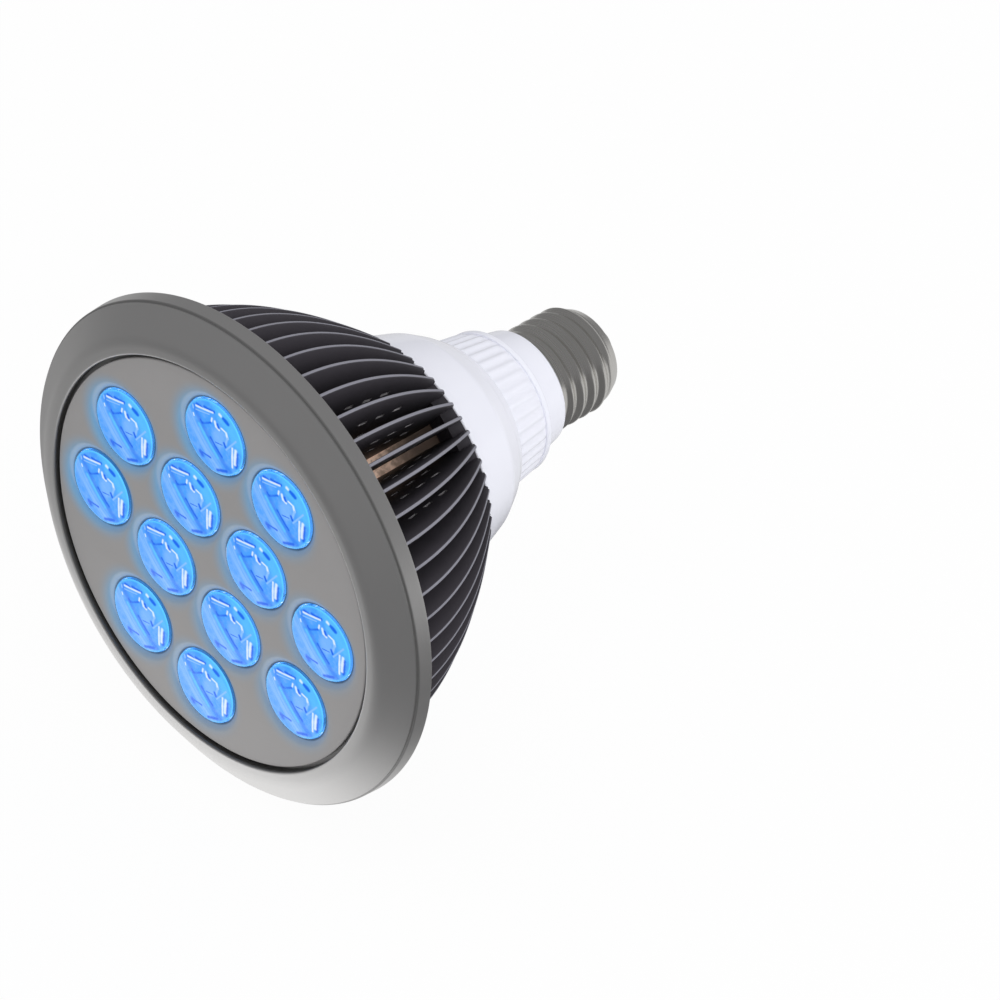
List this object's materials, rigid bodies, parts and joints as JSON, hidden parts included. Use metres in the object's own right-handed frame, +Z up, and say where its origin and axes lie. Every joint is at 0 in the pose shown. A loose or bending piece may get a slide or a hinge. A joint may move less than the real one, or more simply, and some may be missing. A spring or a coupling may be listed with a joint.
{
  "type": "blue light therapy bulb",
  "caption": "Finned LED reflector bulb with a wide satin bezel, round blue lenses, black heat sink, white collar, ribbed neck and screw cap.",
  "frame": {"origin": "on the lamp's axis, at the seat of the screw cap on the white neck", "axes": "+Y along the axis towards the cap's contact, so the lenses face -Y; +Z up; +X to the right when the lenses are looked at from the front"},
  "size_m": [0.1232, 0.1253, 0.1232],
  "materials": {
    "bezel_satin": "satin, fine blasted grain",
    "plate_grey": "satin, grey",
    "lens_clear": "clear moulded plastic, lit blue from behind",
    "led_blue": "blue diode, lit",
    "board_white": "white solder mask on aluminium",
    "fin_black": "black anodised sheet",
    "housing_white": "glossy moulded white",
    "cap_nickel": "nickel plated",
    "cap_black": "black glassy insulator",
    "contact_tin": "tinned",
    "screw_steel": "zinc plated",
    "driver_green": "circuit board",
    "coil_yellow": "taped coil",
    "can_black": "sleeved component",
    "lead_red": "insulated wire",
    "lead_black": "insulated wire"
  },
  "bodies": {
    "root": {"bezel_ring": "bezel_satin", "face_plate": "plate_grey", "led_board": "board_white", "board_screws": "screw_steel", "heat_sink": "fin_black", "neck_housing": "housing_white", "housing_screws": "screw_steel", "screw_shell": "cap_nickel", "cap_insulator": "cap_black", "centre_contact": "contact_tin", "driver_board": "driver_green", "transformer": "coil_yellow", "filter_capacitor": "can_black", "rectifier": "can_black", "led_lead_positive": "lead_red", "led_lead_negative": "lead_black", "cap_lead_shell": "lead_black", "cap_lead_contact": "lead_red", "lens_01": "lens_clear", "led_01": "led_blue", "lens_02": "lens_clear", "led_02": "led_blue", "lens_03": "lens_clear", "led_03": "led_blue", "lens_04": "lens_clear", "led_04": "led_blue", "lens_05": "lens_clear", "led_05": "led_blue", "lens_06": "lens_clear", "led_06": "led_blue", "lens_07": "lens_clear", "led_07": "led_blue", "lens_08": "lens_clear", "led_08": "led_blue", "lens_09": "lens_clear", "led_09": "led_blue", "lens_10": "lens_clear", "led_10": "led_blue", "lens_11": "lens_clear", "led_11": "led_blue", "lens_12": "lens_clear", "led_12": "led_blue"}
  },
  "joints": []
}
